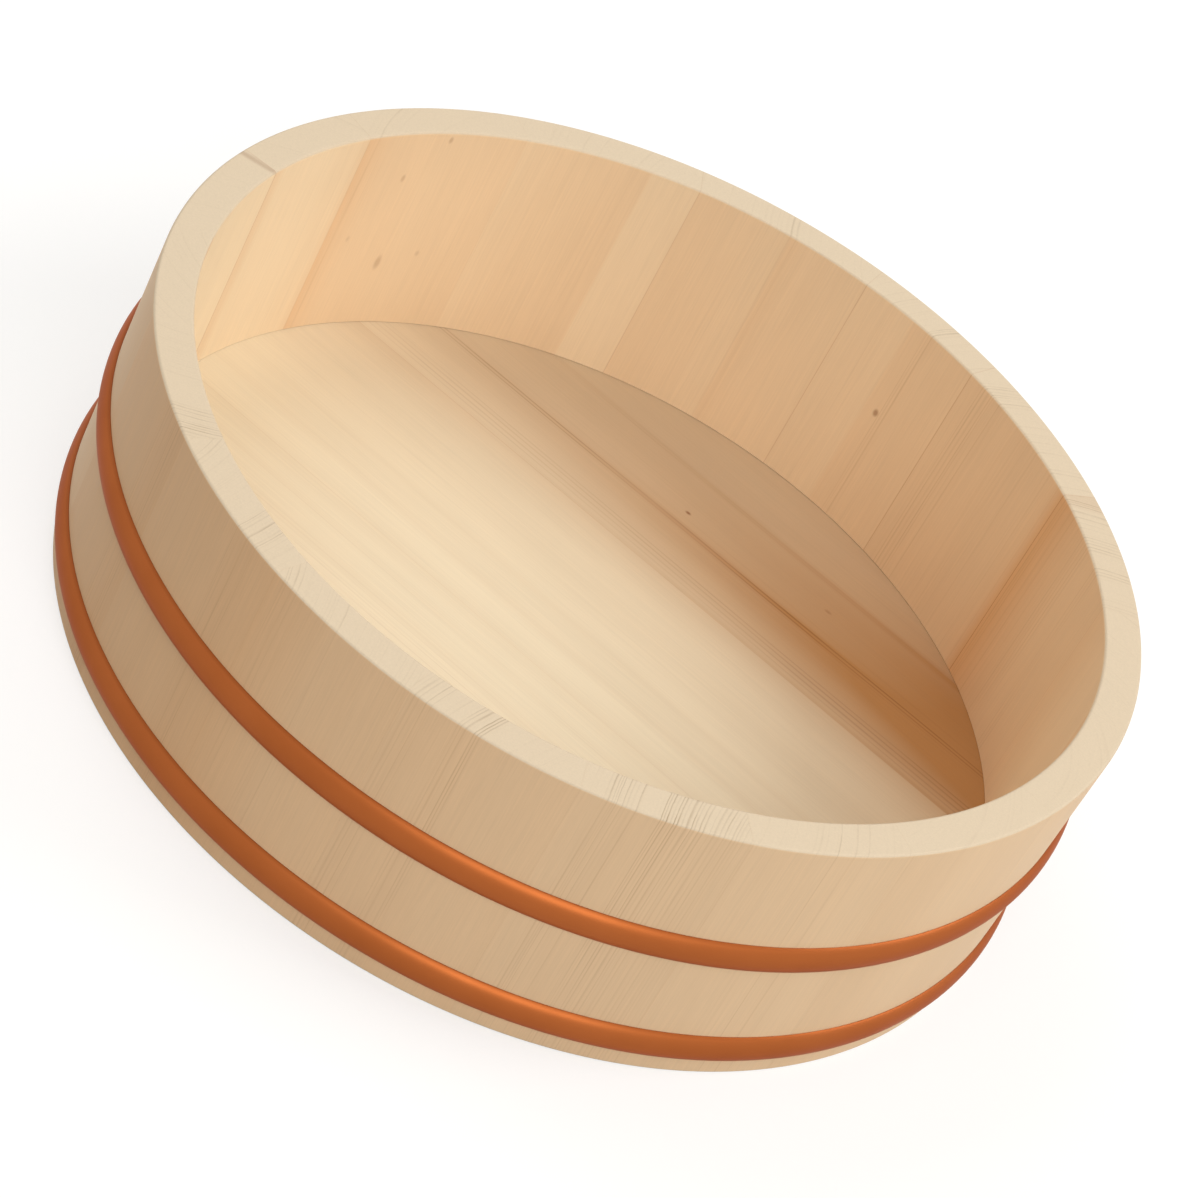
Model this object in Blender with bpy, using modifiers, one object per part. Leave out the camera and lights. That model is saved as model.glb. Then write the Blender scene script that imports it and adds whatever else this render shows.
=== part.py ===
"""A sushi rice tub: upright staves and a boarded floor, pegged edge to edge and held by two hoops.

The tub stands on z = 0 with its axis on Z. Its front, the side nearest the viewer, faces -Y.
"""

from itertools import accumulate
from math import cos, pi, radians, sin

import bmesh
import bpy
from mathutils import Matrix, Vector

# Outline of the tub, in metres.
RIM_DIAMETER = 0.330
FOOT_DIAMETER = 0.3262
TUB_HEIGHT = 0.0982
RIM_WALL = 0.0129
FOOT_WALL = 0.0121
EDGE_RADIUS = 0.0009

# Staves, counter-clockwise from the first joint: their widths along the rim, in proportion.
STAVE_WIDTHS = (
    0.063, 0.052, 0.070, 0.069, 0.068, 0.052, 0.052, 0.052, 0.054,
    0.055, 0.052, 0.055, 0.053, 0.054, 0.061, 0.058, 0.060, 0.058,
)
FIRST_JOINT_ANGLE = radians(38.3)

# Floor: boards from the back to the front, their widths in proportion.
FLOOR_LIFT = 0.0059
FLOOR_THICKNESS = 0.010
FLOOR_CHAMFER = 0.0008
GROOVE_DEPTH = 0.004
BOARD_WIDTHS = (0.092, 0.079, 0.076, 0.063)
BOARD_ANGLE = radians(-17.8)

# Hoops: half-round bands that lie against the staves.
HOOP_WIDTH = 0.0107
HOOP_THICKNESS = 0.0021
HOOP_FULLNESS = 2.3
UPPER_HOOP_DROP = 0.0457
LOWER_HOOP_HEIGHT = 0.0116

# Bamboo pegs, hidden in the joints.
STAVE_PEG_LENGTH = 0.020
STAVE_PEG_DIAMETER = 0.0030
STAVE_PEG_HEIGHT = 0.034
FLOOR_PEG_LENGTH = 0.024
FLOOR_PEG_DIAMETER = 0.0030
FLOOR_PEG_SPACING = 0.120
PEG_POINT = 0.0025

# Clearance at every joint and seat.
FIT_GAP = 0.0003

# How far a cutter runs past what it cuts.
CUT_SPILL = 0.010

# Facets: the angle of one step round the tub, and the counts on small curves.
WALL_STEP = radians(3.6)
EDGE_STEPS = 3
HOOP_STEPS = 96
HOOP_PROFILE_STEPS = 10
FLOOR_STEPS = 96
PEG_SIDES = 12
SHARP_ANGLE = radians(35)

# Colours, as linear red, green and blue.
SAPWOOD = (0.80, 0.62, 0.42)
HEARTWOOD = (0.66, 0.42, 0.25)
BAMBOO = (0.62, 0.50, 0.26)
HOOP_COPPER = (0.47, 0.115, 0.030)
MOST_HEARTWOOD = 0.35


def clear_scene():
    for old in list(bpy.data.objects):
        bpy.data.objects.remove(old, do_unlink=True)


def new_collection(name, hidden=False):
    collection = bpy.data.collections.new(name)
    bpy.context.scene.collection.children.link(collection)
    collection.hide_render = hidden
    return collection


def make_material(name, colour, roughness, metallic=0.0):
    material = bpy.data.materials.new(name)
    material.use_nodes = True
    shader = material.node_tree.nodes["Principled BSDF"]
    shader.inputs["Base Color"].default_value = (*colour, 1.0)
    shader.inputs["Roughness"].default_value = roughness
    shader.inputs["Metallic"].default_value = metallic
    material.diffuse_color = (*colour, 1.0)
    return material


def blend(first, second, share):
    return tuple(a + (b - a) * share for a, b in zip(first, second))


def wood_material(name, index):
    """Neighbouring pieces come from different logs, so each has its own mix of pale and warm wood."""
    share = MOST_HEARTWOOD * (0.5 + 0.5 * sin(2.4 * index))
    return make_material(name + "_wood", blend(SAPWOOD, HEARTWOOD, share), roughness=0.6)


def add_object(name, mesh, collection, parent=None, material=None):
    new = bpy.data.objects.new(name, mesh)
    collection.objects.link(new)
    new.parent = parent
    if material:
        mesh.materials.append(material)
    return new


def shade(mesh):
    mesh.shade_smooth()
    mesh.set_sharp_from_angle(angle=SHARP_ANGLE)


def arc(centre, radius, start, end, steps):
    """Points of an arc in the (radius, height) plane, with both ends."""
    angles = [start + (end - start) * i / steps for i in range(steps + 1)]
    return [(centre[0] + radius * cos(a), centre[1] + radius * sin(a)) for a in angles]


def outer_radius(height):
    return FOOT_DIAMETER / 2 + (RIM_DIAMETER - FOOT_DIAMETER) / 2 * height / TUB_HEIGHT


def wall(height):
    return FOOT_WALL + (RIM_WALL - FOOT_WALL) * height / TUB_HEIGHT


def inner_radius(height):
    return outer_radius(height) - wall(height)


def groove_radius():
    return inner_radius(FLOOR_LIFT + FLOOR_THICKNESS) + GROOVE_DEPTH


def floor_radius():
    return groove_radius() - FIT_GAP


def stave_profile():
    """The section of a stave, anticlockwise in the (radius, height) plane, with the floor's groove."""
    edge = EDGE_RADIUS
    low = edge
    high = TUB_HEIGHT - edge
    groove_low = FLOOR_LIFT - FIT_GAP
    groove_high = FLOOR_LIFT + FLOOR_THICKNESS + FIT_GAP
    return [
        *arc((outer_radius(low) - edge, low), edge, -pi / 2, 0, EDGE_STEPS),
        *arc((outer_radius(high) - edge, high), edge, 0, pi / 2, EDGE_STEPS),
        *arc((inner_radius(high) + edge, high), edge, pi / 2, pi, EDGE_STEPS),
        (inner_radius(groove_high), groove_high),
        (groove_radius(), groove_high),
        (groove_radius(), groove_low),
        (inner_radius(groove_low), groove_low),
        *arc((inner_radius(low) + edge, low), edge, pi, 1.5 * pi, EDGE_STEPS),
    ]


def hoop_profile(centre):
    """A half-round band against the wall, down its outer side and back up its flat inner face."""
    points = []
    for i in range(HOOP_PROFILE_STEPS + 1):
        angle = pi * i / HOOP_PROFILE_STEPS
        rise = abs(cos(angle)) ** (2 / HOOP_FULLNESS) * (1 if angle < pi / 2 else -1)
        swell = abs(sin(angle)) ** (2 / HOOP_FULLNESS)
        height = centre + HOOP_WIDTH / 2 * rise
        points.append((outer_radius(height) + FIT_GAP + HOOP_THICKNESS * swell, height))
    return points


def floor_profile():
    """Half the section of the round floor, from the axis out and round to the axis again."""
    low = FLOOR_LIFT
    high = FLOOR_LIFT + FLOOR_THICKNESS
    edge = FLOOR_CHAMFER
    radius = floor_radius()
    return [
        (0, high),
        (radius - edge, high),
        (radius, high - edge),
        (radius, low + edge),
        (radius - edge, low),
        (0, low),
    ]


def peg_profile(length, diameter):
    """Half the section of a peg with a blunt point at each end."""
    radius = diameter / 2
    tip = radius / 3
    half = length / 2
    return [
        (0, half),
        (tip, half),
        (radius, half - PEG_POINT),
        (radius, PEG_POINT - half),
        (tip, -half),
        (0, -half),
    ]


def profile_mesh(name, points, closed):
    """The edges of a turned profile, in the XZ plane."""
    mesh = bpy.data.meshes.new(name)
    bm = bmesh.new()
    verts = [bm.verts.new((radius, 0, height)) for radius, height in points]
    for first, second in zip(verts, verts[1:]):
        bm.edges.new((first, second))
    if closed:
        bm.edges.new((verts[-1], verts[0]))
    bm.to_mesh(mesh)
    bm.free()
    return mesh


def add_screw(target, steps):
    screw = target.modifiers.new("turn", "SCREW")
    screw.steps = steps
    screw.render_steps = steps
    screw.use_merge_vertices = True
    screw.merge_threshold = 0.00001
    screw.use_smooth_shade = True


def turned_mesh(name, points, steps):
    """A turned solid as a plain mesh, so that Booleans can cut it."""
    guide = bpy.data.objects.new(name, profile_mesh(name + "_profile", points, closed=False))
    bpy.context.scene.collection.objects.link(guide)
    add_screw(guide, steps)
    graph = bpy.context.evaluated_depsgraph_get()
    mesh = bpy.data.meshes.new_from_object(guide.evaluated_get(graph))
    mesh.name = name
    bpy.data.objects.remove(guide, do_unlink=True)
    shade(mesh)
    return mesh


def stave_mesh(name, angle):
    """The stave's section swept round the axis, centred on +X, with its joint faces set back."""
    sweep = angle - FIT_GAP / inner_radius(TUB_HEIGHT)
    bm = bmesh.new()
    turn = Matrix.Rotation(-sweep / 2, 3, "Z")
    verts = [bm.verts.new(turn @ Vector((radius, 0, height))) for radius, height in stave_profile()]
    face = bm.faces.new(verts)
    bmesh.ops.spin(
        bm,
        geom=[face, *face.edges, *face.verts],
        cent=(0, 0, 0),
        axis=(0, 0, 1),
        dvec=(0, 0, 0),
        angle=sweep,
        steps=max(2, round(sweep / WALL_STEP)),
        use_merge=False,
        use_duplicate=False,
    )
    bmesh.ops.recalc_face_normals(bm, faces=bm.faces)
    mesh = bpy.data.meshes.new(name)
    bm.to_mesh(mesh)
    bm.free()
    shade(mesh)
    return mesh


def add_boolean(target, cutter, operation):
    boolean = target.modifiers.new(operation.lower(), "BOOLEAN")
    boolean.operation = operation
    boolean.solver = "EXACT"
    boolean.object = cutter


def place_peg(target, centre, direction):
    """Stands a peg, or the drill that makes its hole, along a level direction."""
    target.location = centre
    target.rotation_euler = direction.to_track_quat("Z", "Y").to_euler()


def drill_mesh(name, length, diameter):
    mesh = bpy.data.meshes.new(name)
    bm = bmesh.new()
    bmesh.ops.create_cone(
        bm,
        cap_ends=True,
        segments=PEG_SIDES,
        radius1=diameter / 2 + FIT_GAP,
        radius2=diameter / 2 + FIT_GAP,
        depth=length + 2 * FIT_GAP,
    )
    bm.to_mesh(mesh)
    bm.free()
    return mesh


def add_drill(name, length, diameter, centre, direction, cutters, parent):
    drill = add_object(name, drill_mesh(name, length, diameter), cutters, parent)
    drill.hide_render = True
    drill.display_type = "WIRE"
    place_peg(drill, centre, direction)
    return drill


def add_peg(name, length, diameter, centre, direction, parts, parent):
    mesh = turned_mesh(name, peg_profile(length, diameter), PEG_SIDES)
    material = make_material(name + "_bamboo", BAMBOO, roughness=0.5)
    place_peg(add_object(name, mesh, parts, parent, material), centre, direction)


def joint_angles():
    """Where each stave starts, and last where the ring closes on the first one."""
    whole = sum(STAVE_WIDTHS)
    return [FIRST_JOINT_ANGLE + 2 * pi * run / whole for run in accumulate(STAVE_WIDTHS, initial=0)]


def add_staves(parts, cutters, parent):
    angles = joint_angles()
    middle = outer_radius(STAVE_PEG_HEIGHT) - wall(STAVE_PEG_HEIGHT) / 2
    drills = []
    for index, angle in enumerate(angles[:-1], start=1):
        centre = Vector((middle * cos(angle), middle * sin(angle), STAVE_PEG_HEIGHT))
        along = Vector((-sin(angle), cos(angle), 0))
        size = (STAVE_PEG_LENGTH, STAVE_PEG_DIAMETER)
        drills.append(add_drill(f"stave_peg_drill_{index:02d}", *size, centre, along, cutters, parent))
        add_peg(f"stave_peg_{index:02d}", *size, centre, along, parts, parent)
    for index, (start, end) in enumerate(zip(angles, angles[1:]), start=1):
        name = f"stave_{index:02d}"
        stave = add_object(name, stave_mesh(name, end - start), parts, parent, wood_material(name, index))
        stave.rotation_euler.z = (start + end) / 2
        add_boolean(stave, drills[index - 1], "DIFFERENCE")
        add_boolean(stave, drills[index % len(drills)], "DIFFERENCE")


def add_board_box(name, near, far, cutters, parent):
    """A box over one board's strip of the floor, from its far edge to its near one."""
    mesh = bpy.data.meshes.new(name)
    bm = bmesh.new()
    size = (2 * (floor_radius() + CUT_SPILL), far - near, FLOOR_THICKNESS + 2 * CUT_SPILL)
    bmesh.ops.create_cube(bm, size=1, matrix=Matrix.Diagonal((*size, 1)))
    bm.to_mesh(mesh)
    bm.free()
    box = add_object(name, mesh, cutters, parent)
    box.hide_render = True
    box.display_type = "WIRE"
    box.location = (0, (near + far) / 2, FLOOR_LIFT + FLOOR_THICKNESS / 2)
    return box


def add_floor(parts, cutters, parent):
    """The round floor, sawn into boards, with two pegs across each joint."""
    radius = floor_radius()
    whole = sum(BOARD_WIDTHS)
    seams = [radius - 2 * radius * run / whole for run in accumulate(BOARD_WIDTHS, initial=0)]
    half_way = FLOOR_LIFT + FLOOR_THICKNESS / 2
    drills = {}
    for number, seam in enumerate(seams[1:-1], start=1):
        for side, offset in enumerate((-FLOOR_PEG_SPACING / 2, FLOOR_PEG_SPACING / 2)):
            index = 2 * number - 1 + side
            centre = Vector((offset, seam, half_way))
            size = (FLOOR_PEG_LENGTH, FLOOR_PEG_DIAMETER)
            across = Vector((0, 1, 0))
            drill = add_drill(f"floor_peg_drill_{index}", *size, centre, across, cutters, parent)
            drills.setdefault(number, []).append(drill)
            add_peg(f"floor_peg_{index}", *size, centre, across, parts, parent)
    for number, (far, near) in enumerate(zip(seams, seams[1:]), start=1):
        name = f"floor_board_{number}"
        mesh = turned_mesh(name, floor_profile(), FLOOR_STEPS)
        board = add_object(name, mesh, parts, parent, wood_material(name, 3 * number))
        far_edge = far + (CUT_SPILL if number == 1 else -FIT_GAP / 2)
        near_edge = near - (CUT_SPILL if number == len(BOARD_WIDTHS) else -FIT_GAP / 2)
        strip = add_board_box(f"{name}_strip", near_edge, far_edge, cutters, parent)
        add_boolean(board, strip, "INTERSECT")
        for drill in drills.get(number - 1, []) + drills.get(number, []):
            add_boolean(board, drill, "DIFFERENCE")


def add_hoops(parts, parent):
    for name, centre in (("upper_hoop", TUB_HEIGHT - UPPER_HOOP_DROP), ("lower_hoop", LOWER_HOOP_HEIGHT)):
        mesh = profile_mesh(name, hoop_profile(centre), closed=True)
        hoop = add_object(name, mesh, parts, parent, make_material(name + "_coat", HOOP_COPPER, 0.35))
        add_screw(hoop, HOOP_STEPS)


def add_empty(name, collection, parent=None, turn=0.0):
    empty = bpy.data.objects.new(name, None)
    collection.objects.link(empty)
    empty.parent = parent
    empty.rotation_euler.z = turn
    return empty


def main():
    clear_scene()
    parts = new_collection("sushi_rice_tub")
    cutters = new_collection("cutters", hidden=True)
    tub = add_empty("tub", parts)
    floor = add_empty("floor", parts, tub, BOARD_ANGLE)
    add_staves(parts, cutters, tub)
    add_floor(parts, cutters, floor)
    add_hoops(parts, tub)


main()
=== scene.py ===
"""A sushi rice tub of bare conifer wood with two copper-coloured hoops, dressed for rendering.

Lengths are in metres, with the tub on z = 0 and its axis on Z. Patterns in the wood are in millimetres.
"""

from collections import namedtuple
from math import atan2, cos, hypot, pi, radians, sin, sqrt

import bmesh
import bpy
from mathutils import Matrix, Vector


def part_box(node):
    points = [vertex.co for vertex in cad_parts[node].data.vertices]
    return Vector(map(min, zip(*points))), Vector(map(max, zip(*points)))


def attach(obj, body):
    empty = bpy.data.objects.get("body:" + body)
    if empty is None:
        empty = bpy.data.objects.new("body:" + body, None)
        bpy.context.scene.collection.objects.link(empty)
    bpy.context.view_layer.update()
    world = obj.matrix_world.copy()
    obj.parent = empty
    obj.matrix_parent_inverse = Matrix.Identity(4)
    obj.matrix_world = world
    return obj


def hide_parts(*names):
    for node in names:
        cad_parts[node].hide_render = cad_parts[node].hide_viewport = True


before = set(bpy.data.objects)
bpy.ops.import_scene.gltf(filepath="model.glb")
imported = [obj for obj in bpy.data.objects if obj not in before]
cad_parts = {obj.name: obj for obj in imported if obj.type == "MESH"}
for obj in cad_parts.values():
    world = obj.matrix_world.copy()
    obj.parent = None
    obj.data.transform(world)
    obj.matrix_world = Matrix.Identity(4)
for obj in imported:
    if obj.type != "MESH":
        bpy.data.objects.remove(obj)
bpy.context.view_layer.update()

bl_info = {
    "name": "Sushi Rice Tub",
    "version": (1, 0, 0),
    "blender": (4, 5, 0),
    "location": "3D View > Sidebar > Rice Tub",
    "description": "Builds a coopered rice tub: staves, floor boards, pegs, hoops and its studio",
    "category": "Object",
}

BODY = "root"
STAVES = sorted(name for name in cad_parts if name.startswith("stave_") and "peg" not in name)
BOARDS = sorted(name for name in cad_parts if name.startswith("floor_board_"))
PEGS = sorted(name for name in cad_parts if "_peg_" in name)
HOOPS = ("upper_hoop", "lower_hoop")
MM = 0.001
MERGE = 0.001 * MM  # Points nearer to each other than this are one.
ROUND_STEPS = 240  # Facets round the tub, in the floor's edge and the hoops.
HOOP_SIDES = 64  # Facets round a hoop's whole ellipse, before the wall cuts it.
RIM_STEPS = 5
HOOP_EDGE_STEPS = 4
PLANK_SMOOTH = radians(32)
HOOP_SMOOTH = radians(50)
PAPER_SIZE = 8
PAPER_LIFT = 0.6
AIR_LIGHT = 0.28
# Each studio light: its name, place, the side of its square, its power in watts, and whether a gloss
# shows it.
LIGHTS = (
    ("key_light", (2.281, 0.83, 1.763), 1.6, 40, True),
    ("front_light", (0.87, -2.266, 1.763), 2.4, 52, True),
    ("left_light", (-1.67, 0.964, 2.298), 2.4, 41, False),
)


def linear(hex_colour):
    """An sRGB colour written as #RRGGBB, as the linear red, green and blue that Blender works in."""
    shares = [int(hex_colour[i : i + 2], 16) / 255 for i in (1, 3, 5)]
    return tuple(c / 12.92 if c <= 0.04045 else ((c + 0.055) / 1.055) ** 2.4 for c in shares)


# What the CAD solids measure

def polar(point):
    return hypot(point.x, point.y), atan2(point.y, point.x)


def points_of(name):
    return [vertex.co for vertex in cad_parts[name].data.vertices]


def turn_span(name):
    """The angles about the axis at which a stave starts and ends, counter-clockwise."""
    points = points_of(name)
    middle = polar(sum(points, Vector()) / len(points))[1]
    offsets = [(polar(p)[1] - middle + pi) % (2 * pi) - pi for p in points]
    return middle + min(offsets), middle + max(offsets)


def joint_turns():
    """The angle of the joint at which each stave starts, half way across the CAD clearance."""
    spans = [turn_span(name) for name in STAVES]
    turns = []
    for before, here in zip(spans[-1:] + spans[:-1], spans):
        gap = (here[0] - before[1] + pi) % (2 * pi) - pi
        turns.append(here[0] - gap / 2)
    return turns


def wall_line(upper, lower):
    """The straight wall through two (radius, height) points, as a function of height."""
    slope = (upper[0] - lower[0]) / (upper[1] - lower[1])
    return lambda height: lower[0] + slope * (height - lower[1])


def measure_walls():
    points = [(polar(p)[0], p.z) for p in points_of(STAVES[0])]
    top = max(z for _, z in points)
    high = [p for p in points if p[1] > top / 2]
    low = [p for p in points if p[1] < top / 20]
    outer = wall_line(max(high), max(low))
    inner = wall_line(min(high), min(low))
    return outer, inner, top


OUTER, INNER, TUB_HEIGHT = measure_walls()
FLOOR_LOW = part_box(BOARDS[0])[0].z
FLOOR_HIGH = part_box(BOARDS[0])[1].z
FLOOR_RADIUS = max(polar(p)[0] for name in BOARDS for p in points_of(name))


# Settings a user would change

class TubShape(bpy.types.PropertyGroup):
    rim_round: bpy.props.FloatProperty(
        name="Rim Rounding", description="Radius of the rim's and foot's softened edges",
        default=0.9 * MM, min=0.1 * MM, max=3 * MM, unit="LENGTH", precision=4,
    )
    joint_chamfer: bpy.props.FloatProperty(
        name="Joint Chamfer", description="Broken edge along each stave and board joint",
        default=0.02 * MM, min=0.01 * MM, max=1 * MM, unit="LENGTH", precision=5,
    )
    joint_gap: bpy.props.FloatProperty(
        name="Joint Gap", description="Space left in each glued joint",
        default=0.005 * MM, min=0, max=0.3 * MM, unit="LENGTH", precision=5,
    )
    floor_gap: bpy.props.FloatProperty(
        name="Floor Gap", description="Space between the floor and its groove",
        default=0.20 * MM, min=0, max=0.3 * MM, unit="LENGTH", precision=5,
    )
    grain_turn: bpy.props.FloatProperty(
        name="Floor Grain Turn", description="Direction in which the floor boards run",
        default=radians(-17.8), subtype="ANGLE",
    )


class WoodFinish(bpy.types.PropertyGroup):
    sapwood: bpy.props.FloatVectorProperty(
        name="Sapwood", description="Pale earlywood of a planed face",
        default=linear("#EEDAB8"), min=0, max=1, subtype="COLOR",
    )
    heartwood: bpy.props.FloatVectorProperty(
        name="Heartwood", description="Warm earlywood of a planed face",
        default=linear("#DBAB7A"), min=0, max=1, subtype="COLOR",
    )
    floor_sapwood: bpy.props.FloatVectorProperty(
        name="Floor Sapwood", description="Pale earlywood of the floor, greyer than the staves'",
        default=linear("#ECDCBD"), min=0, max=1, subtype="COLOR",
    )
    floor_heartwood: bpy.props.FloatVectorProperty(
        name="Floor Heartwood", description="Brown earlywood of the floor",
        default=linear("#B07D4B"), min=0, max=1, subtype="COLOR",
    )
    latewood: bpy.props.FloatVectorProperty(
        name="Latewood", description="Tint that the dark line of a growth ring lays over the face",
        default=linear("#C4AF9E"), min=0, max=1, subtype="COLOR",
    )
    end_grain: bpy.props.FloatVectorProperty(
        name="End Grain", description="Sawn ends, on the rim and the foot",
        default=linear("#DBC7AA"), min=0, max=1, subtype="COLOR",
    )
    end_heartwood: bpy.props.FloatVectorProperty(
        name="End Heartwood", description="Sawn ends of the warm wood",
        default=linear("#C9A886"), min=0, max=1, subtype="COLOR",
    )
    end_latewood: bpy.props.FloatVectorProperty(
        name="End Latewood", description="Tint that the dark line of a growth ring lays over a sawn end",
        default=linear("#AD9B87"), min=0, max=1, subtype="COLOR",
    )
    knot: bpy.props.FloatVectorProperty(
        name="Pin Knot", description="Small knots in the faces",
        default=linear("#86522C"), min=0, max=1, subtype="COLOR",
    )
    glue: bpy.props.FloatVectorProperty(
        name="Glue Line", description="Darkened wood in a joint",
        default=linear("#A8622E"), min=0, max=1, subtype="COLOR",
    )
    bamboo: bpy.props.FloatVectorProperty(
        name="Bamboo", description="Split bamboo of the pegs",
        default=linear("#CDB983"), min=0, max=1, subtype="COLOR",
    )


class HoopFinish(bpy.types.PropertyGroup):
    hoop_sink: bpy.props.FloatProperty(
        name="Hoop Sink", description="How far inside the wall a hoop's ellipse is centred",
        default=1.0 * MM, min=0, max=4 * MM, unit="LENGTH", precision=4,
    )
    hoop_edge: bpy.props.FloatProperty(
        name="Hoop Edge", description="Rounding of a hoop's two edges against the wall",
        default=0.4 * MM, min=0.1 * MM, max=1.0 * MM, unit="LENGTH", precision=4,
    )
    copper: bpy.props.FloatVectorProperty(
        name="Copper Colour", description="Resin of the hoops",
        default=linear("#B06131"), min=0, max=1, subtype="COLOR",
    )
    copper_dark: bpy.props.FloatVectorProperty(
        name="Copper Shade", description="Darker patches in the resin",
        default=linear("#A15628"), min=0, max=1, subtype="COLOR",
    )
    # Painted shade: the colour laid along a hoop's two edges, for the shade in the crevice against the wall.
    copper_crevice_shade: bpy.props.FloatVectorProperty(
        name="Copper Edge", description="Dulled resin along a hoop's two edges",
        default=linear("#7A3C1A"), min=0, max=1, subtype="COLOR",
    )


class Studio(bpy.types.PropertyGroup):
    camera_rise: bpy.props.FloatProperty(
        name="Camera Rise", description="Angle by which the camera looks down",
        default=radians(36.11), subtype="ANGLE",
    )
    camera_roll: bpy.props.FloatProperty(
        name="Camera Roll", description="Turn of the camera about its own view",
        default=radians(29.46), subtype="ANGLE",
    )
    camera_place: bpy.props.FloatVectorProperty(
        name="Camera Place", description="Where the camera stands",
        default=(0.00454, -1.0955, 0.8378), subtype="XYZ", unit="LENGTH",
    )
    camera_lens: bpy.props.FloatProperty(
        name="Lens", description="Focal length of the camera",
        default=129.4, min=10, unit="CAMERA",
    )
    floor_white: bpy.props.FloatVectorProperty(
        name="Floor", description="Pale paper that the tub stands on",
        default=linear("#B0AFAC"), min=0, max=1, subtype="COLOR",
    )


# Nodes and materials

def add_node(tree, kind, inputs=None, **settings):
    """Adds a node, applies its settings, and sets or links each named input."""
    node = tree.nodes.new(kind)
    for name, value in settings.items():
        setattr(node, name, value)
    for key, value in (inputs or {}).items():
        if isinstance(value, bpy.types.NodeSocket):
            tree.links.new(value, node.inputs[key])
        else:
            node.inputs[key].default_value = value
    return node


def new_material(name):
    material = bpy.data.materials.new(name)
    material.use_nodes = True
    tree = material.node_tree
    tree.nodes.clear()
    shader = add_node(tree, "ShaderNodeBsdfPrincipled")
    add_node(tree, "ShaderNodeOutputMaterial", {"Surface": shader.outputs[0]})
    return material, tree, shader


def fill_ramp(ramp, stops):
    """Sets a colour ramp's stops, each a place and a grey level."""
    while len(ramp.elements) < len(stops):
        ramp.elements.new(1)
    while len(ramp.elements) > len(stops):
        ramp.elements.remove(ramp.elements[-1])
    for element, (place, value) in zip(ramp.elements, stops):
        element.position = place
        element.color = (value, value, value, 1)


# How a piece lies in its log. Places are in millimetres across the piece's seen face, from its middle.
# pith: the log's centre, as (outwards or up, across). pitch: a year's growth.
# tone: (place, warmth) stops. lines: (from, to, strength) runs of strong rings, above a faint base.
# glue: how dark the joint at the piece's start is. flecks: (across, along, width, length, strength).
# drift: share of its warmth that the wood gains in 100 mm along the fibres; on the floor boards partly
# painted shadow.
Grain = namedtuple("Grain", "pith pitch tone base lines glue flecks drift", defaults=((), 0.0))

STAVE_GRAINS = (
    Grain((-20, -80), 1.5, ((-29, 0.95), (-24, 0.62), (-18, 0.54), (20, 0.52)), 0.12,
          ((-23, -16, 0.3), (12, 26, 0.45)), 0.6),
    Grain((-20, -70), 1.4, ((3, 0.47), (5, 0.35)), 0.1, ((-6, -1, 0.5), (12, 16, 0.3)), 0.4,
          ((-1.2, 60.4, 1.1, 1.6, 0.6),)),
    Grain((10, -70), 1.7, ((-10, 0.36), (-2.5, 0.44), (-1, 0.32), (22, 0.37)), 0.08, ((-9, -1, 0.4),), 0.3),
    Grain((-30, -60), 1.7, ((-14.6, 0.2), (-13.8, 0.38), (15, 0.34), (30, 0.3)), 0.1,
          ((-14, -8, 0.25),), 0.3),
    Grain((-55, -30), 2.2, ((0, 0.36), (18, 0.4), (23, 0.48), (27, 0.6)), 0.08, ((18, 25, 0.35),), 0.05,
          ((3.0, 42.5, 1.4, 3.3, 0.3), (8.9, 79, 0.9, 1.7, 0.28), (-11, 46.6, 0.9, 1.3, 0.18),
           (-3.2, 95.0, 0.9, 1.5, 0.3), (20.5, 54, 0.8, 1.4, 0.15))),
    Grain((-40, 50), 2.0, ((-24, 0.42), (-19, 0.2), (-8, 0.12), (18, 0.1), (23, 0.3)), 0.1, (), 0.2),
    Grain((-30, 60), 2.0, ((-25, 0.3), (-22, 0.02), (20, 0.0)), 0.1, (), 0.6,
          ((-23.2, 98.8, 1.8, 1.2, 0.34),)),
    Grain((-50, -40), 1.8, ((-12, 0.52), (24, 0.69)), 0.08, (), 0.0),
    Grain((-15, -70), 1.2, ((-2, 0.78), (25, 0.86)), 0.08, ((10, 24, 0.45),), 0.0),
    Grain((40, -95), 1.0, ((-24, 0.8), (0, 0.8), (26, 0.85)), 0.08, ((-22, -14, 0.2), (7, 22, 0.3)), 0.0),
    Grain((40, -95), 1.1, ((-26, 0.88), (-8, 0.76), (0, 0.7), (24, 0.68)), 0.08, ((-24, 3, 0.18),), 0.05),
    Grain((40, 110), 1.15, ((-24, 0.67), (0, 0.64), (22, 0.6)), 0.08,
          ((-14, -3, 0.65), (-26, -15, 0.45)), 0.05),
    Grain((28, 100), 1.2, ((-24, 0.59), (0, 0.56)), 0.08,
          ((-18.5, -9, 0.45), (-2, 11, 0.75), (12.5, 27, 0.4)), 0.05),
    Grain((-30, -60), 1.5, ((0, 0.55), (26, 0.53)), 0.08, ((-12, 12, 0.3), (21, 26, 0.3)), 0.1),
    Grain((-50, -30), 1.8, ((-26, 0.57), (0, 0.54)), 0.08, (), 0.05),
    Grain((-50, -20), 2.0, ((-24, 0.54), (0, 0.56), (24, 0.65)), 0.08, (), 0.05),
    Grain((-40, -60), 1.6, ((4, 0.4), (27, 0.58)), 0.1, (), 0.05),
    Grain((-10, -80), 1.5, ((0, 0.54), (14, 0.74), (24, 0.97)), 0.15,
          ((-11, -7, 0.36), (2, 8, 0.36), (14, 25, 0.36)), 0.12),
)

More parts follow.
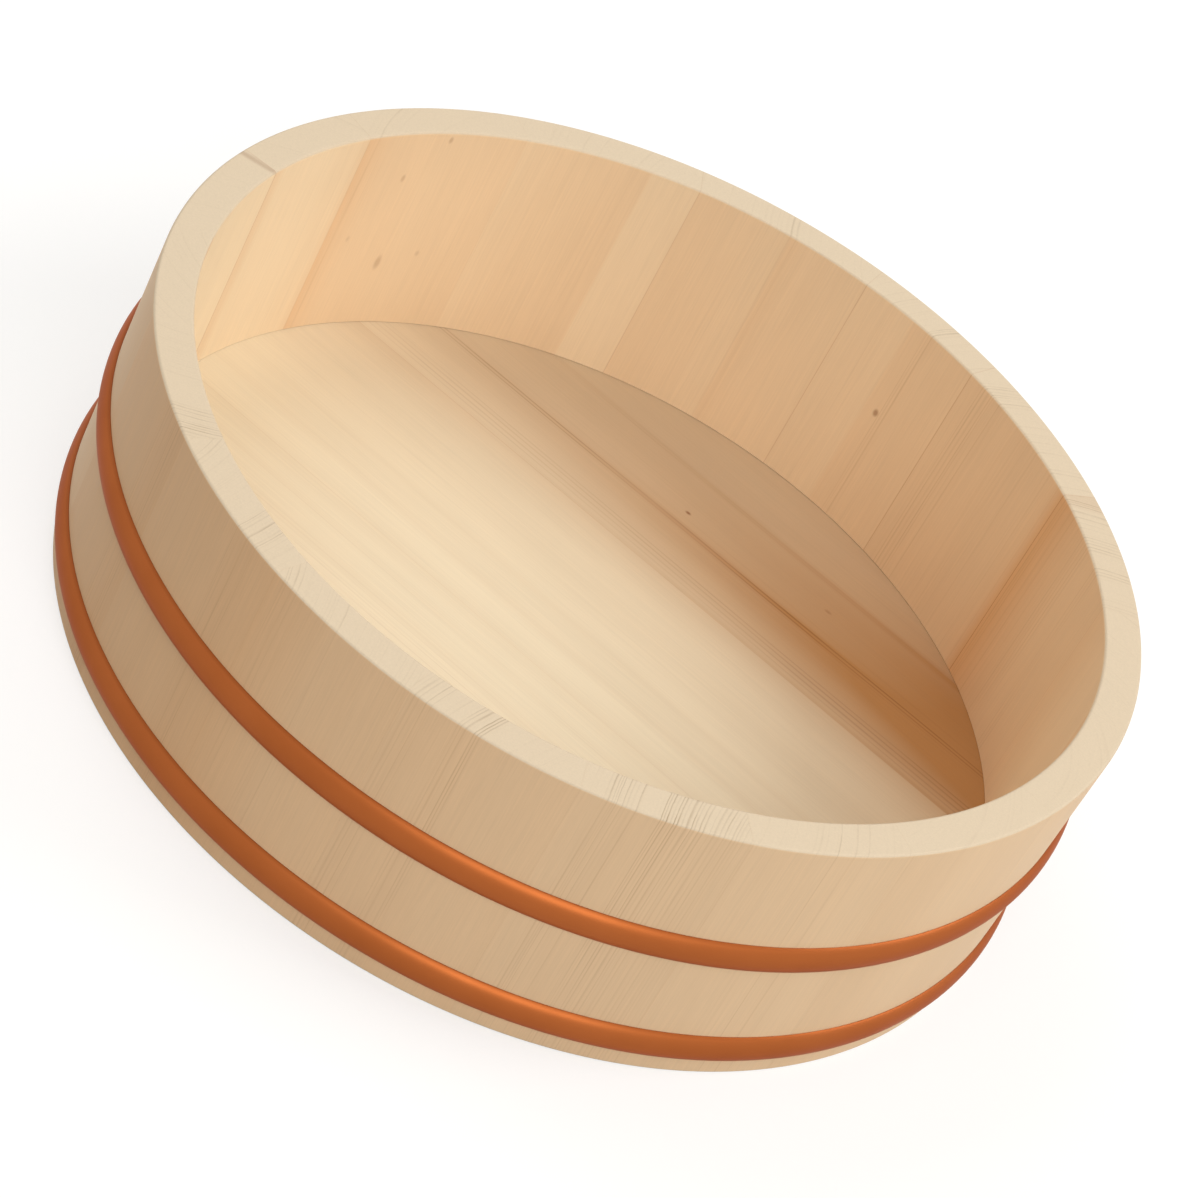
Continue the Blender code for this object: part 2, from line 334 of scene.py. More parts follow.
BOARD_GRAINS = (
    Grain((-30, 90), 1.8,
          ((-46, 0.5), (-22, 0.56), (-14, 0.61), (-12, 0.72), (-9, 0.66), (0, 0.69), (10, 0.71), (15, 0.75),
           (17.5, 0.88), (20, 0.77), (24, 0.75), (30, 0.66), (38, 0.58), (43, 0.52), (46, 0.55)),
          0.1, ((-14, -11, 0.3), (16, 19.5, 0.9), (36, 46, 0.55)), 0.0,
          ((9.6, -14.6, 0.8, 1.2, 0.8), (2.0, 42.8, 0.8, 1.6, 0.35)), 0.45),
    Grain((-30, -90), 1.8,
          ((-39, 0.47), (-30, 0.31), (-20, 0.22), (0, 0.16), (8, 0.12), (11, 0.16), (14, 0.11), (20, 0.09),
           (24, 0.14), (28, 0.06), (36, 0.07), (39, 0.1)),
          0.06, ((-2, 1, 0.3), (18, 20, 0.3)), 0.2, (), 0.25),
    Grain((-30, -90), 1.7,
          ((-38, 0.1), (-34, 0.07), (-29, 0.01), (-25, 0.06), (-22, 0.02), (-15, 0.03), (-11, 0.08),
           (-8, 0.02), (0, 0.04), (12, 0.08), (20, 0.03)),
          0.06, ((-24.5, -22.5, 0.5), (-14, -2, 0.5)), 0.1),
    Grain((-30, -90), 1.8, ((0, 0.03),), 0.06, (), 0.1),
)
RAMP_REACH = 60  # Millimetres from a piece's middle that its profiles cover, both ways.
# How dark a ring is from one year's start to its end, as (share of the year, darkness).
YEAR_SHADE = ((0.0, 0.2), (0.2, 0.0), (0.55, 0.1), (0.8, 0.95), (0.9, 1.0), (1.0, 0.2))


def depth_at(grain, x, y):
    """How much farther from the pith a point of the cross-section is than the piece's middle."""
    return hypot(x - grain.pith[0], y - grain.pith[1]) - hypot(*grain.pith)


def profile(tree, depth, stops):
    """A curve of (depth, value) stops, read at a depth."""
    share = add_node(tree, "ShaderNodeMapRange", {0: depth, 1: -RAMP_REACH, 2: RAMP_REACH}).outputs[0]
    ramp = add_node(tree, "ShaderNodeValToRGB", {"Fac": share})
    places = sorted(((place + RAMP_REACH) / (2 * RAMP_REACH), value) for place, value in stops)
    fill_ramp(ramp.color_ramp, [(min(max(place, 0), 1), value) for place, value in places])
    return ramp.outputs[0]


def tone_stops(grain, face):
    return [(depth_at(grain, face, place), warmth) for place, warmth in grain.tone]


def line_stops(grain, face):
    """The strength of the rings: the runs of strong ones, each fading over a millimetre, above the base."""
    stops = [(-RAMP_REACH, grain.base), (RAMP_REACH, grain.base)]
    for start, end, strength in grain.lines:
        low, high = sorted(depth_at(grain, face, place) for place in (start, end))
        stops += [(low - 1, grain.base), (low, strength), (high, strength), (high + 1, grain.base)]
    return stops


def wood_material(wood, name, pale, warm, to_piece, middle, grain, face, half_width, joint_normal, seed):
    """Hinoki-like softwood, planed and left bare: satin faces with fine straight rings, dull sawn ends.

    to_piece turns the tub's directions into the piece's own, fibres along Z, and middle is its centre there.
    The rings are shells round the pith, so that they meet at the edges between a face and an end.
    """
    material, tree, shader = new_material(name)

    def math(operation, *values, clamp=False):
        return add_node(tree, "ShaderNodeMath", dict(enumerate(values)), operation=operation,
                        use_clamp=clamp).outputs[0]

    def noise(vector, scale, detail):
        """Noise of a given scale per millimetre across and along the fibres."""
        across, along = scale
        stretched = add_node(tree, "ShaderNodeVectorMath", {0: vector, 1: (across, across, along)},
                             operation="MULTIPLY")
        return add_node(tree, "ShaderNodeTexNoise", {"Vector": stretched.outputs[0], "W": seed, "Scale": 1,
                                                    "Detail": detail}, noise_dimensions="4D").outputs[0]

    def ring_noise(depth, scale, detail):
        """Noise that changes from ring to ring only."""
        where = math("MULTIPLY_ADD", depth, scale, seed)
        return add_node(tree, "ShaderNodeTexNoise", {"W": where, "Scale": 1, "Detail": detail},
                        noise_dimensions="1D").outputs[0]

    def blend(share, first, second, kind="MIX"):
        return add_node(tree, "ShaderNodeMix", {0: share, 6: first, 7: second}, data_type="RGBA",
                        blend_type=kind).outputs[2]

    def remap(value, *ends, smooth=False):
        kind = "SMOOTHSTEP" if smooth else "LINEAR"
        return add_node(tree, "ShaderNodeMapRange", {0: value, **dict(enumerate(ends, 1))},
                        interpolation_type=kind).outputs[0]

    coordinates = add_node(tree, "ShaderNodeTexCoord").outputs
    turn = to_piece.to_euler()
    place = add_node(tree, "ShaderNodeMapping", {
        "Vector": coordinates["Object"], "Rotation": turn, "Scale": (1 / MM,) * 3, "Location": -middle / MM,
    }).outputs[0]
    facing = add_node(tree, "ShaderNodeMapping", {"Vector": coordinates["Normal"], "Rotation": turn},
                      vector_type="NORMAL").outputs[0]

    # Distance from the pith, bent a little by the tree's own unevenness.
    from_pith = add_node(tree, "ShaderNodeVectorMath", {0: place, 1: (*grain.pith, 0)}, operation="SUBTRACT")
    across = add_node(tree, "ShaderNodeVectorMath", {0: from_pith.outputs[0], 1: (1, 1, 0)},
                      operation="MULTIPLY")
    far = add_node(tree, "ShaderNodeVectorMath", {0: across.outputs[0]}, operation="LENGTH").outputs["Value"]
    straight = math("SUBTRACT", far, hypot(*grain.pith))
    swell = math("MULTIPLY_ADD", noise(place, (0.02, 0.006), 1), 2.4, math("SUBTRACT", straight, 1.2))
    depth = math("MULTIPLY_ADD", noise(place, (0.3, 0.02), 2), 0.3, swell)

    # Broad bands of paler and warmer wood.
    band = math("MULTIPLY_ADD", ring_noise(depth, 0.07, 3), 0.06, -0.03)
    tone = math("ADD", profile(tree, depth, tone_stops(grain, face)), band)
    lengthwise = add_node(tree, "ShaderNodeSeparateXYZ", {0: place}).outputs[2]
    # Partly painted shadow: on the floor boards the drift darkens their right ends, where the wall's shadow
    # falls.
    warmth = math("MULTIPLY", math("MULTIPLY_ADD", lengthwise, grain.drift / 100, 1.0), tone, clamp=True)
    early = blend(warmth, (*pale, 1), (*warm, 1))

    # Rings of unequal width, each fading in and ending on a dark line, and stronger in warm wood.
    paced = math("MULTIPLY_ADD", ring_noise(depth, 0.12, 2), 4, depth)
    rings = math("DIVIDE", paced, grain.pitch)
    late = add_node(tree, "ShaderNodeValToRGB", {"Fac": math("FRACT", rings)})
    fill_ramp(late.color_ramp, YEAR_SHADE)
    key = add_node(tree, "ShaderNodeCombineXYZ", {0: math("FLOOR", rings), 1: seed}).outputs[0]
    luck = add_node(tree, "ShaderNodeTexWhiteNoise", {"Vector": key}, noise_dimensions="2D").outputs["Value"]
    strength = profile(tree, depth, line_stops(grain, face))
    along = remap(noise(place, (0.1, 0.016), 2), 0.35, 0.65, 0.35, 1.25)
    chance = math("POWER", luck, remap(strength, 0.1, 0.6, 3.0, 0.4))
    strong = math("MULTIPLY", math("MULTIPLY", chance, strength), along)
    strong = math("MULTIPLY", strong, remap(warmth, 0, 1, 0.55, 1.45))
    line = math("MULTIPLY", math("MULTIPLY", late.outputs[0], 0.6), strong, clamp=True)

    # Fibres, drawn 0.4 mm across, some ten times their real width, so that they show.
    fibre = noise(place, (2.4, 0.035), 3)
    cloud = noise(place, (0.05, 0.012), 2)
    planed = blend(line, early, (*wood.latewood, 1), "MULTIPLY")
    light = math("MULTIPLY", remap(fibre, 0.3, 0.7, 0.965, 1.03), remap(cloud, 0.3, 0.7, 0.975, 1.02))
    planed = add_node(tree, "ShaderNodeVectorMath", {0: planed, "Scale": light}, operation="SCALE").outputs[0]

    # Sawn ends: paler and greyer, with the same rings and a fine speckle of cut fibres.
    dark_end = blend(remap(warmth, 0.88, 1.25, 0.0, 1.0), (*wood.end_grain, 1), (*wood.end_heartwood, 1))
    sawn = blend(math("MULTIPLY", line, 1.5), dark_end, (*wood.end_latewood, 1), "MULTIPLY")
    speckle = remap(noise(place, (1.8, 1.8), 3), 0.3, 0.7, 0.965, 1.025)
    sawn = add_node(tree, "ShaderNodeVectorMath", {0: sawn, "Scale": speckle}, operation="SCALE").outputs[0]
    upright = math("ABSOLUTE", add_node(tree, "ShaderNodeSeparateXYZ", {0: facing}).outputs[2])
    is_end = remap(upright, 0.15, 0.6, 0.0, 1.0, smooth=True)
    timber = blend(is_end, planed, sawn)

    # Pin knots.
    for side, height, width, length, darkness in grain.flecks:
        off = add_node(tree, "ShaderNodeVectorMath", {0: place, 1: (0, side, height)}, operation="SUBTRACT")
        shaped = add_node(tree, "ShaderNodeVectorMath", {0: off.outputs[0], 1: (0, 1 / width, 1 / length)},
                          operation="MULTIPLY")
        reach = add_node(tree, "ShaderNodeVectorMath", {0: shaped.outputs[0]}, operation="LENGTH")
        knot = remap(reach.outputs["Value"], 1.3, 0.3, 0.0, darkness, smooth=True)
        timber = blend(knot, timber, (*wood.knot, 1))

    # Wood stained dark beside the glue.
    away = add_node(tree, "ShaderNodeVectorMath", {0: place, 1: joint_normal}, operation="DOT_PRODUCT")
    from_joint = math("ADD", away.outputs["Value"], half_width)
    stain = math("MULTIPLY", remap(from_joint, 0.45, 0.05, 0.0, 1.0, smooth=True), grain.glue)
    stain = math("MULTIPLY", stain, remap(is_end, 0, 1, 1.0, 0.4))
    timber = blend(stain, timber, (*wood.glue, 1))

    rough = math("MULTIPLY_ADD", is_end, 0.18, remap(fibre, 0.3, 0.7, 0.5, 0.62))
    ridge = math("MULTIPLY_ADD", line, 0.6, fibre)
    bump = add_node(tree, "ShaderNodeBump", {"Height": ridge, "Strength": 0.3, "Distance": 0.05 * MM})
    tree.links.new(timber, shader.inputs["Base Color"])
    tree.links.new(rough, shader.inputs["Roughness"])
    tree.links.new(bump.outputs[0], shader.inputs["Normal"])
    shader.inputs["Specular IOR Level"].default_value = 0.35
    return material


def hoop_material(finish, name):
    """Resin full of copper mica, moulded smooth: dark in shade, with a broad metallic sheen to the light.

    A hoop's colour is darkened towards its two edges, as painted shade for the crevice where it meets the
    wall.
    """
    material, tree, shader = new_material(f"moulded_resin_{name}")
    place = add_node(tree, "ShaderNodeTexCoord").outputs["Object"]
    low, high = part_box(name)
    height = add_node(tree, "ShaderNodeSeparateXYZ", {0: place}).outputs[2]
    off = add_node(tree, "ShaderNodeMath", {0: height, 1: (low.z + high.z) / 2}, operation="SUBTRACT")
    away = add_node(tree, "ShaderNodeMath", {0: off.outputs[0]}, operation="ABSOLUTE")
    half = (high.z - low.z) / 2
    # Painted shade: the colour darkens over the outer fifth of each half, towards both edges against the
    # wall.
    edge = add_node(tree, "ShaderNodeMapRange", {0: away.outputs[0], 1: 0.8 * half, 2: half, 3: 0, 4: 0.5},
                    interpolation_type="SMOOTHSTEP")
    # Patches of thicker and thinner mica, some 30 mm across.
    patches = add_node(tree, "ShaderNodeTexNoise", {"Vector": place, "Scale": 35, "Detail": 3})
    mixed = add_node(tree, "ShaderNodeMix", {0: patches.outputs[0], 6: (*finish.copper_dark, 1),
                                            7: (*finish.copper, 1)}, data_type="RGBA")
    crevice_shaded = add_node(tree, "ShaderNodeMix", {0: edge.outputs[0], 6: mixed.outputs[2],
                                            7: (*finish.copper_crevice_shade, 1)}, data_type="RGBA")
    dull = add_node(tree, "ShaderNodeMapRange", {0: patches.outputs[0], 1: 0.3, 2: 0.7, 3: 0.46, 4: 0.38})
    tree.links.new(crevice_shaded.outputs[2], shader.inputs["Base Color"])
    tree.links.new(dull.outputs[0], shader.inputs["Roughness"])
    shader.inputs["Metallic"].default_value = 0.6
    shader.inputs["IOR"].default_value = 1.45
    shader.inputs["Specular Tint"].default_value = (*linear("#D09A70"), 1)
    return material


def bamboo_material(wood):
    """Split bamboo: dense straight fibres, smooth to the touch."""
    material, tree, shader = new_material("split_bamboo")
    place = add_node(tree, "ShaderNodeTexCoord").outputs["Object"]
    # Bundles of fibres, about a millimetre across.
    fibres = add_node(tree, "ShaderNodeTexNoise", {"Vector": place, "Scale": 900, "Detail": 2})
    dark = tuple(0.8 * c for c in wood.bamboo)
    mixed = add_node(tree, "ShaderNodeMix", {0: fibres.outputs[0], 6: (*dark, 1), 7: (*wood.bamboo, 1)},
                     data_type="RGBA")
    tree.links.new(mixed.outputs[2], shader.inputs["Base Color"])
    shader.inputs["Roughness"].default_value = 0.5
    return material


# Modelling

def new_piece(name, material, slot, *nodes):
    """Names the active object, gives it its material, and lets it stand for its CAD node."""
    piece = bpy.context.object
    piece.name = name
    piece.data.name = name
    piece.data.materials.append(material)
    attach(piece, BODY)
    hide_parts(*nodes)


def clear_selection():
    bpy.ops.object.select_all(action="DESELECT")


def pick(kind, test):
    """In edit mode, selects the vertices, edges or faces that pass a test."""
    bpy.ops.mesh.select_mode(type=kind)
    bpy.ops.mesh.select_all(action="DESELECT")
    data = bpy.context.object.data
    cage = bmesh.from_edit_mesh(data)
    for element in {"VERT": cage.verts, "EDGE": cage.edges, "FACE": cage.faces}[kind]:
        if test(element):
            element.select_set(True)
    cage.select_flush_mode()
    bmesh.update_edit_mesh(data)


def finish_mesh(smooth_angle):
    """Merges doubles, turns the faces outwards, leaves edit mode and shades by angle."""
    bpy.ops.mesh.select_all(action="SELECT")
    bpy.ops.mesh.remove_doubles(threshold=MERGE)
    bpy.ops.mesh.normals_make_consistent(inside=False)
    bpy.ops.object.mode_set(mode="OBJECT")
    bpy.ops.object.shade_smooth_by_angle(angle=smooth_angle)
    weighted = bpy.context.object.modifiers.new("flat_faces_stay_flat", "WEIGHTED_NORMAL")
    weighted.keep_sharp = True
    bpy.ops.object.modifier_apply(modifier=weighted.name)


def is_near(value, target, within=0.01 * MM):
    return abs(value - target) < within


def add_section(low, high, groove_low, groove_high, groove_radius):
    """A stave's section as a face in the XZ plane: a tapered plank with the floor's groove cut out."""
    clear_selection()
    middle = ((OUTER(low) + INNER(low)) / 2, 0, (low + high) / 2)
    bpy.ops.mesh.primitive_plane_add(size=1, enter_editmode=True, location=middle,
                                     rotation=(pi / 2, 0, 0))
    bpy.ops.object.mode_set(mode="OBJECT")
    bpy.ops.object.transform_apply(location=True, rotation=True, scale=True)
    bpy.ops.object.mode_set(mode="EDIT")
    for is_top, height in ((False, low), (True, high)):
        for is_outer, radius in ((False, INNER(height)), (True, OUTER(height))):
            across = 0.5 if is_outer else -0.5
            up = 0.5 if is_top else -0.5
            corner = Vector((middle[0] + across, 0, middle[2] + up))
            pick("VERT", lambda v: (v.co - corner).length < 0.1)
            bpy.ops.transform.translate(value=Vector((radius, 0, height)) - corner)
    for centre, direction in (((0, 0, groove_low), (0, 0, 1)), ((0, 0, groove_high), (0, 0, 1)),
                              ((groove_radius, 0, 0), (1, 0, 0))):
        bpy.ops.mesh.select_all(action="SELECT")
        bpy.ops.mesh.bisect(plane_co=centre, plane_no=direction)
    half_way = (groove_low + groove_high) / 2
    pick("FACE", lambda f: f.calc_center_median().x < groove_radius
         and abs(f.calc_center_median().z - half_way) < (groove_high - groove_low) / 2)
    bpy.ops.mesh.delete(type="FACE")


def on_plane(edge, angle):
    """True if an edge lies in the upright plane at that angle about the axis."""
    across = Vector((-sin(angle), cos(angle), 0))
    return all(is_near(v.co.dot(across), 0) for v in edge.verts)


def model_stave(start, end, shape, step=radians(1)):
    """Leaves a new stave between two joint angles as the active object."""
    groove_low = FLOOR_LOW - shape.floor_gap
    groove_high = FLOOR_HIGH + shape.floor_gap
    add_section(0, TUB_HEIGHT, groove_low, groove_high, FLOOR_RADIUS + shape.floor_gap)
    gap = shape.joint_gap / INNER(TUB_HEIGHT)
    width = end - start - gap
    # Spin turns clockwise round the axis it is given, so the axis points down.
    bpy.ops.mesh.select_all(action="SELECT")
    bpy.ops.mesh.spin(steps=round(width / step), angle=width, center=(0, 0, 0), axis=(0, 0, -1))
    bpy.ops.mesh.select_all(action="SELECT")
    bpy.ops.mesh.remove_doubles(threshold=MERGE)
    bpy.ops.mesh.normals_make_consistent(inside=False)

    def is_rim_or_foot(edge):
        a, b = (v.co for v in edge.verts)
        level = is_near(a.z, b.z) and (is_near(a.z, 0) or is_near(a.z, TUB_HEIGHT))
        round_it = is_near(hypot(a.x, a.y), hypot(b.x, b.y))
        skin = any(is_near(hypot(a.x, a.y), wall(a.z)) for wall in (OUTER, INNER))
        return level and round_it and skin

    pick("EDGE", is_rim_or_foot)
    bpy.ops.mesh.bevel(offset=shape.rim_round, segments=RIM_STEPS, affect="EDGES")
    pick("EDGE", lambda e: on_plane(e, 0) or on_plane(e, width))
    bpy.ops.mesh.bevel(offset=shape.joint_chamfer, segments=1, affect="EDGES")
    finish_mesh(smooth_angle=PLANK_SMOOTH)
    bpy.context.object.rotation_euler.z = start + gap / 2
    bpy.ops.object.transform_apply(location=False, rotation=True, scale=False)


def seam_offset(point, turn):
    """How far a point lies towards the back of the floor, square to the boards."""
    return point.y * cos(turn) - point.x * sin(turn)


def board_strips(turn):
    """The near and far edge of each floor board, square to its length, with the joints closed up."""
    spans = []
    for name in BOARDS:
        offsets = [seam_offset(p, turn) for p in points_of(name)]
        spans.append((min(offsets), max(offsets)))
    seams = [(a[0] + b[1]) / 2 for a, b in zip(spans, spans[1:])]
    fars = [None, *seams]
    nears = [*seams, None]
    return list(zip(nears, fars))


def model_board(near, far, shape):
    """Leaves a new floor board as the active object: a strip of a disc, thickened, edges broken."""
    clear_selection()
    bpy.ops.mesh.primitive_circle_add(vertices=ROUND_STEPS, radius=FLOOR_RADIUS, fill_type="NGON",
                                      enter_editmode=True, location=(0, 0, FLOOR_HIGH))
    bpy.ops.object.mode_set(mode="OBJECT")
    bpy.ops.object.transform_apply(location=True, rotation=True, scale=True)
    bpy.ops.object.mode_set(mode="EDIT")
    turn = shape.grain_turn
    back = Vector((-sin(turn), cos(turn), 0))
    if near is not None:
        bpy.ops.mesh.select_all(action="SELECT")
        bpy.ops.mesh.bisect(plane_co=back * (near + shape.joint_gap / 2), plane_no=back, clear_inner=True)
    if far is not None:
        bpy.ops.mesh.select_all(action="SELECT")
        bpy.ops.mesh.bisect(plane_co=back * (far - shape.joint_gap / 2), plane_no=back, clear_outer=True)
    bpy.ops.mesh.select_all(action="SELECT")
    bpy.ops.mesh.extrude_region_move(TRANSFORM_OT_translate={"value": (0, 0, FLOOR_LOW - FLOOR_HIGH)})
    bpy.ops.mesh.select_all(action="SELECT")
    bpy.ops.mesh.normals_make_consistent(inside=False)
    pick("EDGE", lambda e: is_near(e.verts[0].co.z, e.verts[1].co.z))
    bpy.ops.mesh.bevel(offset=shape.joint_chamfer, segments=1, affect="EDGES")
    finish_mesh(smooth_angle=PLANK_SMOOTH)


def model_hoop(name, hoop):
    """Leaves a new hoop as the active object: part of an ellipse, spun round the axis, its edges rounded."""
    low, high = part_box(name)
    middle = (low.z + high.z) / 2
    seat = OUTER(middle)
    centre = (seat - hoop.hoop_sink, 0, middle)
    depth = high.x - centre[0]
    height = ((high.z - low.z) / 2 + hoop.hoop_edge / 4) / sqrt(1 - (hoop.hoop_sink / depth) ** 2)
    clear_selection()
    bpy.ops.mesh.primitive_circle_add(vertices=HOOP_SIDES, radius=1, fill_type="NGON", enter_editmode=True,
                                      location=centre, rotation=(pi / 2, 0, 0))
    bpy.ops.object.mode_set(mode="OBJECT")
    bpy.ops.object.transform_apply(location=True, rotation=True, scale=True)
    bpy.ops.object.mode_set(mode="EDIT")
    bpy.ops.mesh.select_all(action="SELECT")
    bpy.ops.transform.resize(value=(depth, 1, height), center_override=centre)
    lean = (OUTER(high.z) - OUTER(low.z)) / (high.z - low.z)
    bpy.ops.mesh.select_all(action="SELECT")
    bpy.ops.mesh.bisect(plane_co=(seat, 0, middle), plane_no=(1, 0, -lean), clear_inner=True)
    bpy.ops.mesh.select_all(action="SELECT")
    bpy.ops.mesh.delete(type="ONLY_FACE")
    bpy.ops.mesh.select_all(action="SELECT")
    bpy.ops.mesh.spin(steps=ROUND_STEPS, angle=2 * pi, center=(0, 0, 0), axis=(0, 0, 1))
    bpy.ops.mesh.select_all(action="SELECT")
    bpy.ops.mesh.remove_doubles(threshold=MERGE)
    bpy.ops.mesh.normals_make_consistent(inside=False)

    def is_corner(edge):
        a, b = (v.co for v in edge.verts)
        on_seat = is_near(hypot(a.x, a.y), seat + lean * (a.z - middle), 0.02 * MM)
        return on_seat and is_near(a.z, b.z)

    pick("EDGE", is_corner)
    bpy.ops.mesh.bevel(offset=hoop.hoop_edge, segments=HOOP_EDGE_STEPS, affect="EDGES",
                       clamp_overlap=True)
    finish_mesh(smooth_angle=HOOP_SMOOTH)


# Operators

class RICETUB_OT_staves(bpy.types.Operator):
    """Builds the upright staves, each sawn from its own log"""

    bl_idname = "rice_tub.staves"
    bl_label = "Staves"

    def execute(self, context):
        shape = context.scene.tub_shape
        wood = context.scene.wood_finish
        turns = joint_turns()
        for index, (name, grain) in enumerate(zip(STAVES, STAVE_GRAINS)):
            start = turns[index]
            width = (turns[(index + 1) % len(turns)] - start) % (2 * pi)
            model_stave(start, start + width, shape)
            half = width / 2
            to_piece = Matrix.Rotation(-(start + half), 3, "Z")
            centre = (OUTER(TUB_HEIGHT) + INNER(TUB_HEIGHT)) / 2
            # The photo shows the near staves from outside and the far ones from inside.
            seen_outside = sin(start + half) < 0
            face = (OUTER(TUB_HEIGHT) - centre) / MM * (1 if seen_outside else -1)
            material = wood_material(
                wood, f"planed_softwood_{name}", wood.sapwood, wood.heartwood, to_piece,
                Vector((centre, 0, 0)), grain, face,
                half_width=centre * sin(half) / MM, joint_normal=Vector((sin(half), cos(half), 0)),
                seed=7.3 * index + 1.7,
            )
            new_piece(f"{name}_wood", material, "stave_wood", name)
        return {"FINISHED"}


class RICETUB_OT_floor(bpy.types.Operator):
    """Builds the boards of the floor"""

    bl_idname = "rice_tub.floor_boards"
    bl_label = "Floor Boards"

    def execute(self, context):
        shape = context.scene.tub_shape
        wood = context.scene.wood_finish
        turn = shape.grain_turn
        # Rows: the tub's up, the way across the boards, and the way along them.
        to_piece = Matrix(((0, 0, 1), (sin(turn), -cos(turn), 0), (cos(turn), sin(turn), 0)))
        for index, (name, strip, grain) in enumerate(zip(BOARDS, board_strips(turn), BOARD_GRAINS)):
            near, far = strip
            model_board(near, far, shape)
            low = -FLOOR_RADIUS if near is None else near
            high = FLOOR_RADIUS if far is None else far
            material = wood_material(
                wood, f"planed_softwood_{name}", wood.floor_sapwood, wood.floor_heartwood, to_piece,
                Vector((FLOOR_HIGH, -(low + high) / 2, 0)), grain, face=0,
                half_width=(high - low) / 2 / MM, joint_normal=Vector((0, 1, 0)),
                seed=5.1 * index + 160.3,
            )
            new_piece(f"{name}_wood", material, "floor_wood", name)
        return {"FINISHED"}


class RICETUB_OT_hoops(bpy.types.Operator):
    """Builds the two hoops that hold the staves"""

    bl_idname = "rice_tub.hoops"
    bl_label = "Hoops"

    def execute(self, context):
        hoop = context.scene.hoop_finish
        for name in HOOPS:
            model_hoop(name, hoop)
            new_piece(f"{name}_band", hoop_material(hoop, name), "hoop_coat", name)
        return {"FINISHED"}


class RICETUB_OT_pegs(bpy.types.Operator):
    """Gives the bamboo pegs in the joints their finish"""

    bl_idname = "rice_tub.pegs"
    bl_label = "Pegs"

    def execute(self, context):
        material = bamboo_material(context.scene.wood_finish)
        for name in PEGS:
            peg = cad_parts[name]
            peg.data.materials.clear()
            peg.data.materials.append(material)
        return {"FINISHED"}


def add_softbox(target, name, place, size, power, shines):
    """A square studio light that faces the tub.

    One that doesn't shine fills the shade without showing in a gloss.
    """
    clear_selection()
    bpy.ops.object.light_add(type="AREA", location=place)
    light = bpy.context.object
    light.name = name
    light.data.shape = "SQUARE"
    light.data.size = size
    light.data.energy = power
    light.visible_glossy = shines
    light.rotation_euler = (Vector(target) - Vector(place)).to_track_quat("-Z", "Y").to_euler()


def seen_directly(tree):
    """The light path, and 1 where the camera or a gloss looks straight at a surface."""
    path = add_node(tree, "ShaderNodeLightPath")
    rays = {0: path.outputs["Is Camera Ray"], 1: path.outputs["Is Glossy Ray"]}
    return path, add_node(tree, "ShaderNodeMath", rays, operation="MAXIMUM").outputs[0]


def paper_material(colour):
    """Seamless white paper: matt, and lifted to white where the camera or a gloss looks at it."""
    material, tree, shader = new_material("studio_paper")
    shader.inputs["Base Color"].default_value = (*colour, 1)
    shader.inputs["Roughness"].default_value = 0.9
    shader.inputs["Specular IOR Level"].default_value = 0.1
    seen = seen_directly(tree)[1]
    lift = add_node(tree, "ShaderNodeMath", {0: seen, 1: PAPER_LIFT}, operation="MULTIPLY")
    shader.inputs["Emission Color"].default_value = (1, 1, 1, 1)
    tree.links.new(lift.outputs[0], shader.inputs["Emission Strength"])
    return material


def light_world(strength):
    """Even light from all round, and plain white where the camera or a gloss sees it."""
    world = bpy.data.worlds.new("studio_air")
    bpy.context.scene.world = world
    world.use_nodes = True
    tree = world.node_tree
    tree.nodes.clear()
    path, seen = seen_directly(tree)
    seen = add_node(tree, "ShaderNodeMath", {0: seen, 1: path.outputs["Is Transmission Ray"]},
                    operation="MAXIMUM")
    level = add_node(tree, "ShaderNodeMapRange", {0: seen.outputs[0], 1: 0, 2: 1, 3: strength, 4: 1.0})
    back = add_node(tree, "ShaderNodeBackground", {"Color": (1, 1, 1, 1), "Strength": level.outputs[0]})
    add_node(tree, "ShaderNodeOutputWorld", {"Surface": back.outputs[0]})


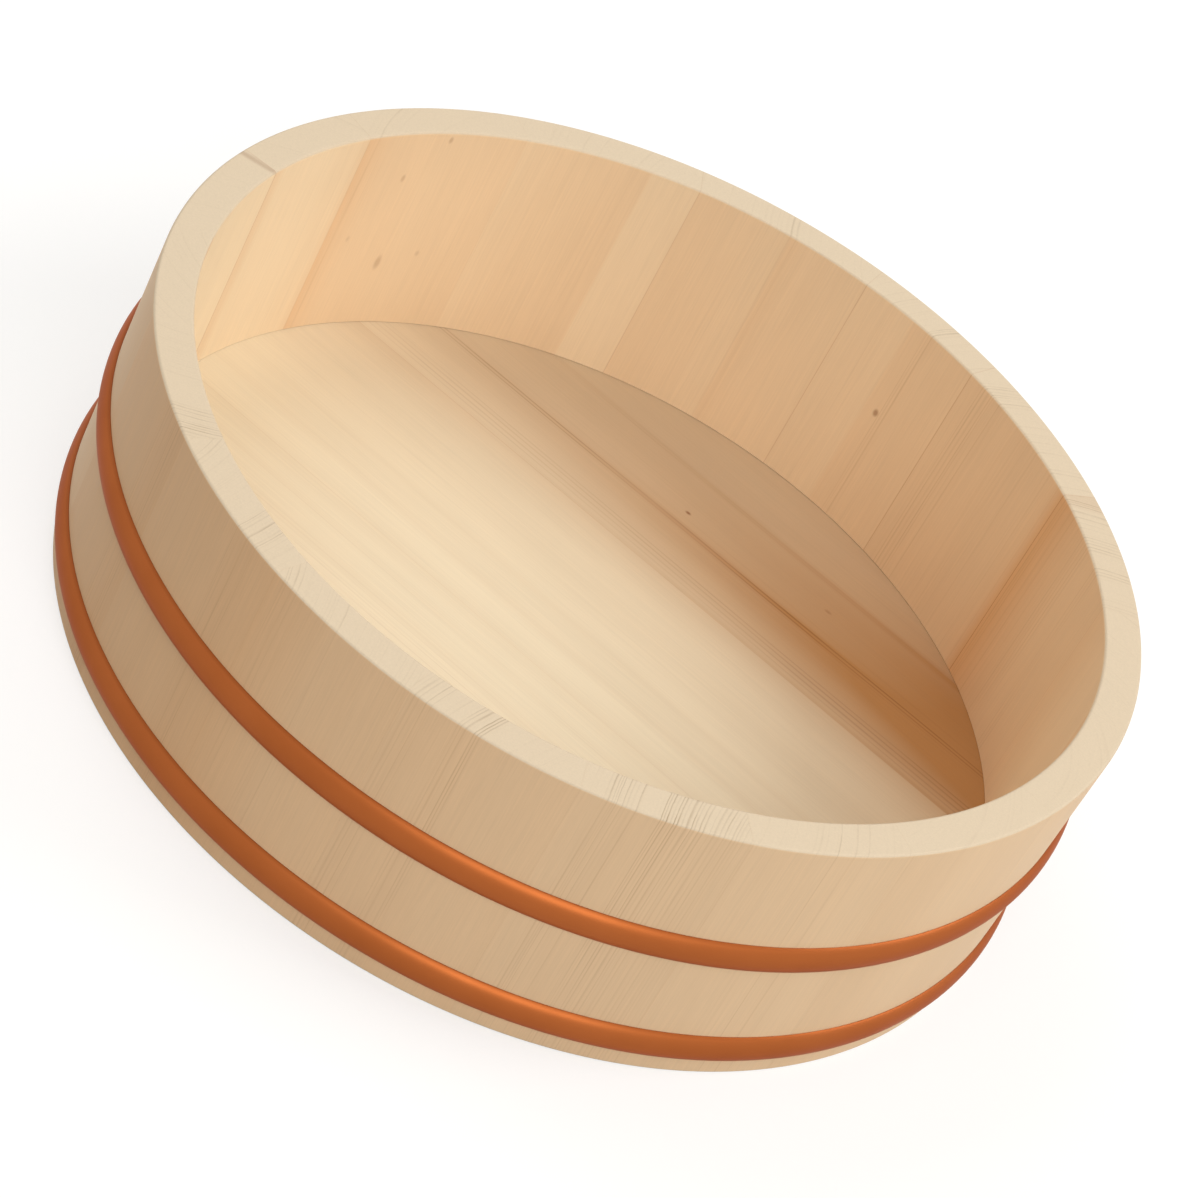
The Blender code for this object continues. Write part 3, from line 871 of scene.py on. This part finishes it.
class RICETUB_OT_stage(bpy.types.Operator):
    """Adds the paper floor, the lights and the camera"""

    bl_idname = "rice_tub.stage"
    bl_label = "Studio"

    def execute(self, context):
        studio = context.scene.studio
        clear_selection()
        bpy.ops.mesh.primitive_plane_add(size=PAPER_SIZE, location=(0, 0, 0))
        paper = context.object
        paper.name = "studio_paper"
        paper.data.materials.append(paper_material(studio.floor_white))
        light_world(AIR_LIGHT)
        for light in LIGHTS:
            add_softbox((0, 0, TUB_HEIGHT / 2), *light)
        clear_selection()
        bpy.ops.object.camera_add(location=studio.camera_place)
        camera = context.object
        camera.matrix_world = (
            Matrix.Translation(studio.camera_place)
            @ Matrix.Rotation(pi / 2 - studio.camera_rise, 4, "X")
            @ Matrix.Rotation(studio.camera_roll, 4, "Z")
        )
        camera.data.lens = studio.camera_lens
        context.scene.camera = camera
        context.scene.view_settings.view_transform = "Standard"
        return {"FINISHED"}


class RICETUB_PT_panel(bpy.types.Panel):
    bl_idname = "RICETUB_PT_panel"
    bl_label = "Rice Tub"
    bl_space_type = "VIEW_3D"
    bl_region_type = "UI"
    bl_category = "Rice Tub"

    def draw(self, context):
        for operator in OPERATORS:
            self.layout.operator(operator.bl_idname)
        for group in SETTINGS:
            box = self.layout.box()
            for name in SETTINGS[group].__annotations__:
                box.prop(getattr(context.scene, group), name)


SETTINGS = {"tub_shape": TubShape, "wood_finish": WoodFinish, "hoop_finish": HoopFinish, "studio": Studio}
OPERATORS = (RICETUB_OT_staves, RICETUB_OT_floor, RICETUB_OT_hoops, RICETUB_OT_pegs, RICETUB_OT_stage)


def register():
    for group, kind in SETTINGS.items():
        bpy.utils.register_class(kind)
        setattr(bpy.types.Scene, group, bpy.props.PointerProperty(type=kind))
    for kind in (*OPERATORS, RICETUB_PT_panel):
        bpy.utils.register_class(kind)


def unregister():
    for kind in (RICETUB_PT_panel, *reversed(OPERATORS)):
        bpy.utils.unregister_class(kind)
    for group, kind in reversed(SETTINGS.items()):
        delattr(bpy.types.Scene, group)
        bpy.utils.unregister_class(kind)


def main():
    register()
    bpy.ops.rice_tub.staves()
    bpy.ops.rice_tub.floor_boards()
    bpy.ops.rice_tub.hoops()
    bpy.ops.rice_tub.pegs()
    bpy.ops.rice_tub.stage()


if __name__ == "__main__":
    main()
